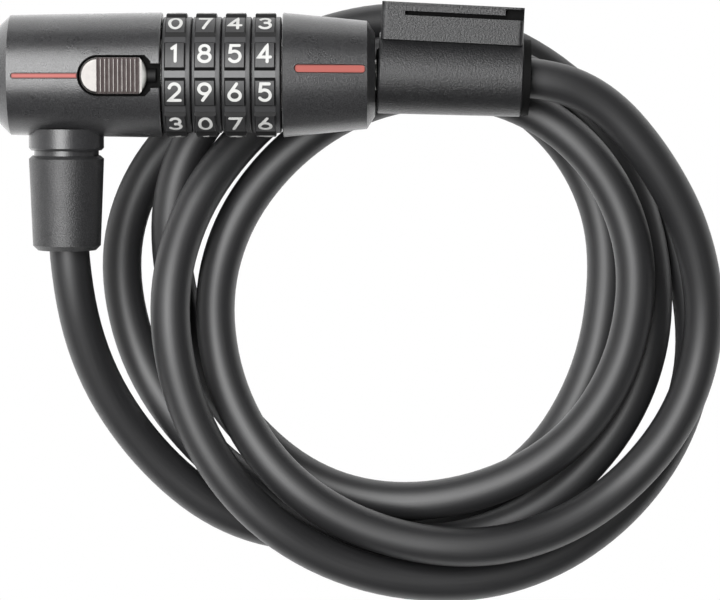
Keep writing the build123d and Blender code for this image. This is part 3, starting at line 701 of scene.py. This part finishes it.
def stroke_lines():
    """The centre lines of all ten numbers. A line that ends where it starts is a closed ring."""
    bowl = arc(0, -0.86, 1.4, 1.25, 0, 360, 40)
    stem = [(-1.27, -0.35), (0.5, HALF_H)]
    return [
        [arc(0, 0, HALF_W, HALF_H, 0, 360, 48)],
        [[(-0.62, 1.3), (0.22, 1.98), (0.22, -1.98)]],
        [arc(0, 0.86, 1.28, 1.25, 168, -38) + [(-1.3, -HALF_H), (1.38, -HALF_H)]],
        [arc(-0.06, 1.04, 1.18, 1.07, 150, -88), arc(-0.06, -0.98, 1.38, 1.13, 88, -150)],
        [[(0.62, -HALF_H), (0.62, HALF_H), (-HALF_W, -0.95), (HALF_W, -0.95)]],
        [[(1.12, HALF_H), (-0.92, HALF_H), (-1.12, 0.3)]
         + arc(-0.02, -0.76, 1.38, 1.35, 128, -148)],
        [bowl, stem],
        [[(-1.34, HALF_H), (1.34, HALF_H), (-0.42, -HALF_H)]],
        [arc(0, 1.08, 1.14, 1.03, 0, 360, 36), arc(0, -0.98, 1.4, 1.13, 0, 360, 40)],
        [[(-u, -v) for u, v in bowl], [(-u, -v) for u, v in stem]],
    ]


def fine_steps(line, longest=0.25):
    """The same line with its long straight runs divided, so that it can follow a curved face."""
    out = [line[0]]
    for (u0, v0), (u1, v1) in zip(line, line[1:]):
        steps = max(1, math.ceil(math.dist((u0, v0), (u1, v1)) / longest))
        out += [(u0 + (u1 - u0) * k / steps, v0 + (v1 - v0) * k / steps)
                for k in range(1, steps + 1)]
    return out


def stroke_outline(line, width):
    """Whether the line is a closed ring, its points, and the two edges of the stroke along it."""
    closed = math.dist(line[0], line[-1]) < TINY
    points = [Vector((*p, 0)) for p in (line[:-1] if closed else line)]
    count = len(points)
    sides = ([], [])
    for k, here in enumerate(points):
        before = points[(k - 1) % count] if closed or k else here
        after = points[(k + 1) % count] if closed or k < count - 1 else here
        into = (here - before).normalized() if before != here else (after - here).normalized()
        away = (after - here).normalized() if after != here else into
        normal = Vector((-(into + away).y, (into + away).x, 0)).normalized()
        reach = width / 2 / max(SHARPEST, normal.dot(Vector((-into.y, into.x, 0))))
        sides[0].append(here + normal * reach)
        sides[1].append(here - normal * reach)
    return closed, points, sides


def round_cap(centre, first, turn, steps=10):
    """Points of the half circle that closes a stroke, from its edge point first."""
    arm = first - centre
    return [centre + Matrix.Rotation(turn * math.pi * k / steps, 3, "Z") @ arm
            for k in range(1, steps)]


def ink_stroke(bm, line, place, top):
    """One stroke as a closed plate. place(u, v, height) gives the point on the dial."""
    closed, points, (left, right) = stroke_outline(line, INK_W)
    if closed:
        tops = [[bm.verts.new(place(p.x, p.y, top)) for p in side] for side in (left, right)]
        feet = [[bm.verts.new(place(p.x, p.y, INK_FOOT)) for p in side] for side in (left, right)]
        count = len(left)
        for k in range(count):
            n = (k + 1) % count
            bm.faces.new((tops[0][k], tops[0][n], tops[1][n], tops[1][k]))
            bm.faces.new((feet[0][n], feet[0][k], feet[1][k], feet[1][n]))
            bm.faces.new((feet[0][k], feet[0][n], tops[0][n], tops[0][k]))
            bm.faces.new((tops[1][k], tops[1][n], feet[1][n], feet[1][k]))
        return
    rows = list(zip(left, right))
    caps = (round_cap(points[0], right[0], -1), round_cap(points[-1], left[-1], -1))
    edge = left + caps[1] + list(reversed(right)) + caps[0]
    levels = []
    for height in (top, INK_FOOT):
        made = {}
        for p in edge:
            made[tuple(p)] = bm.verts.new(place(p.x, p.y, height))
        levels.append(made)
        face_rows = [(made[tuple(a)], made[tuple(b)]) for a, b in rows]
        for (a, b), (c, d) in zip(face_rows, face_rows[1:]):
            bm.faces.new((a, c, d, b) if height > 0 else (b, d, c, a))
        for end, cap in ((rows[0], caps[0]), (rows[-1][::-1], caps[1])):
            loop = [made[tuple(end[1])]] + [made[tuple(p)] for p in cap] + [made[tuple(end[0])]]
            bm.faces.new(loop if height > 0 else list(reversed(loop)))
    upper, lower = levels
    for p, q in zip(edge, edge[1:] + edge[:1]):
        bm.faces.new((upper[tuple(p)], lower[tuple(p)], lower[tuple(q)], upper[tuple(q)]))


# %% [markdown]
# The pads' radius and place come from the CAD boxes. The first number is the one nearest the top
# in view; the others follow round the dial, ten to a turn. Where two strokes of a number cross,
# the second lies a hair higher, so that their faces never coincide.

# %%
TOP_ANGLE = 33.3
FIRST_NUMBERS = (0, 7, 4, 3)


def dial_numbers(index, first):
    """All ten numbers of one dial as one mesh on its pads."""
    low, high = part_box(f"dial_ring_{index}")
    radius = (high.y - low.y) / 2 / MM
    middle = low.x / MM + PAD_INSET + PAD_W / 2
    bm = bmesh.new()
    lines = stroke_lines()
    for step in range(DIGITS):
        angle = math.radians(TOP_ANGLE + 360 / DIGITS * step)

        def place(u, v, height):
            a = angle - v / radius
            r = radius + height
            return Vector((middle + u, r * math.cos(a), r * math.sin(a))) * MM

        for k, line in enumerate(lines[(first + step) % DIGITS]):
            ink_stroke(bm, fine_steps(line), place, INK_TOP + INK_LAYER * k)
    numbers = put_bmesh(f"dial_numbers_{index}", bm)
    wear(numbers, white_ink)
    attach(numbers, f"dial_{index}")
    return numbers


for index, first in enumerate(FIRST_NUMBERS, 1):
    numbers = dial_numbers(index, first)
    print(numbers.name, len(numbers.data.polygons), "faces")

# %% [markdown]
# ## Floor and light
#
# A product shot on white: a pale floor that the camera sees as pure white, and soft light from
# large panels. One wide panel hangs above and to the left, facing straight down. The body mirrors
# it as a broad highlight, and the pale floor mirrors in the lower and upper edges of the metal. A
# faint panel far to the left draws a thin pale line down the left side of the gland and the cable.

# %%
WHITE = (1, 1, 1, 1)


def white_for_camera(name, shade):
    """A pale surface that the camera sees as white, and that reflects as a pale floor does."""
    material, tree, shader = new_material(name, shade, 0.9)
    output = tree.nodes["Material Output"]
    flat = add(tree, "ShaderNodeEmission", Color=WHITE, Strength=1.0)
    seen = add(tree, "ShaderNodeLightPath").outputs["Is Camera Ray"]
    mix = add(tree, "ShaderNodeMixShader", i0=seen, i1=shader.outputs[0], i2=flat.outputs[0])
    tree.links.new(mix.outputs[0], output.inputs["Surface"])
    return material


FLOOR_GAP = 0.0002
FLOOR_Z = cad_low.z - FLOOR_GAP
FLOOR_HALF = 1.2
floor_mesh = bpy.data.meshes.new("floor")
floor_mesh.from_pydata([(x * FLOOR_HALF, y * FLOOR_HALF, FLOOR_Z)
                        for x, y in ((-1, -1), (1, -1), (1, 1), (-1, 1))], [], [(0, 1, 2, 3)])
floor = put("floor", floor_mesh)
wear(floor, white_for_camera("white_floor", "f4f4f4"))


def panel(name, at, towards, size, watts):
    """A soft rectangular light that faces a point."""
    data = bpy.data.lights.new(name, "AREA")
    data.shape = "RECTANGLE"
    data.size, data.size_y = size
    data.energy = watts
    light = put(name, data)
    light.location = at
    light.rotation_euler = (Vector(towards) - Vector(at)).to_track_quat("-Z", "Y").to_euler()


LOCK_CENTRE = (0.09, -0.05, 0)
KEY_AT, KEY_FOOT = (-0.31, 0.33, 1.15), (-0.31, 0.33, 0)
LEFT_AT = (-0.9, 0.2, 0.3)
SKY_LIGHT, SKY_SEEN = 0.05, 1.0
panel("key_panel", KEY_AT, KEY_FOOT, size=(0.75, 1.7), watts=52)
panel("left_panel", LEFT_AT, LOCK_CENTRE, size=(0.6, 0.9), watts=2)
world = bpy.data.worlds.new("studio")
bpy.context.scene.world = world
world.use_nodes = True
sky = world.node_tree.nodes["Background"]
sky.inputs["Color"].default_value = WHITE
looked_at = add(world.node_tree, "ShaderNodeLightPath").outputs["Is Camera Ray"]
link(world.node_tree, sky, Strength=spread(world.node_tree, looked_at, SKY_LIGHT, SKY_SEEN))
bpy.context.scene.view_settings.view_transform = "Standard"
print("stage: floor at", round(FLOOR_Z, 4))
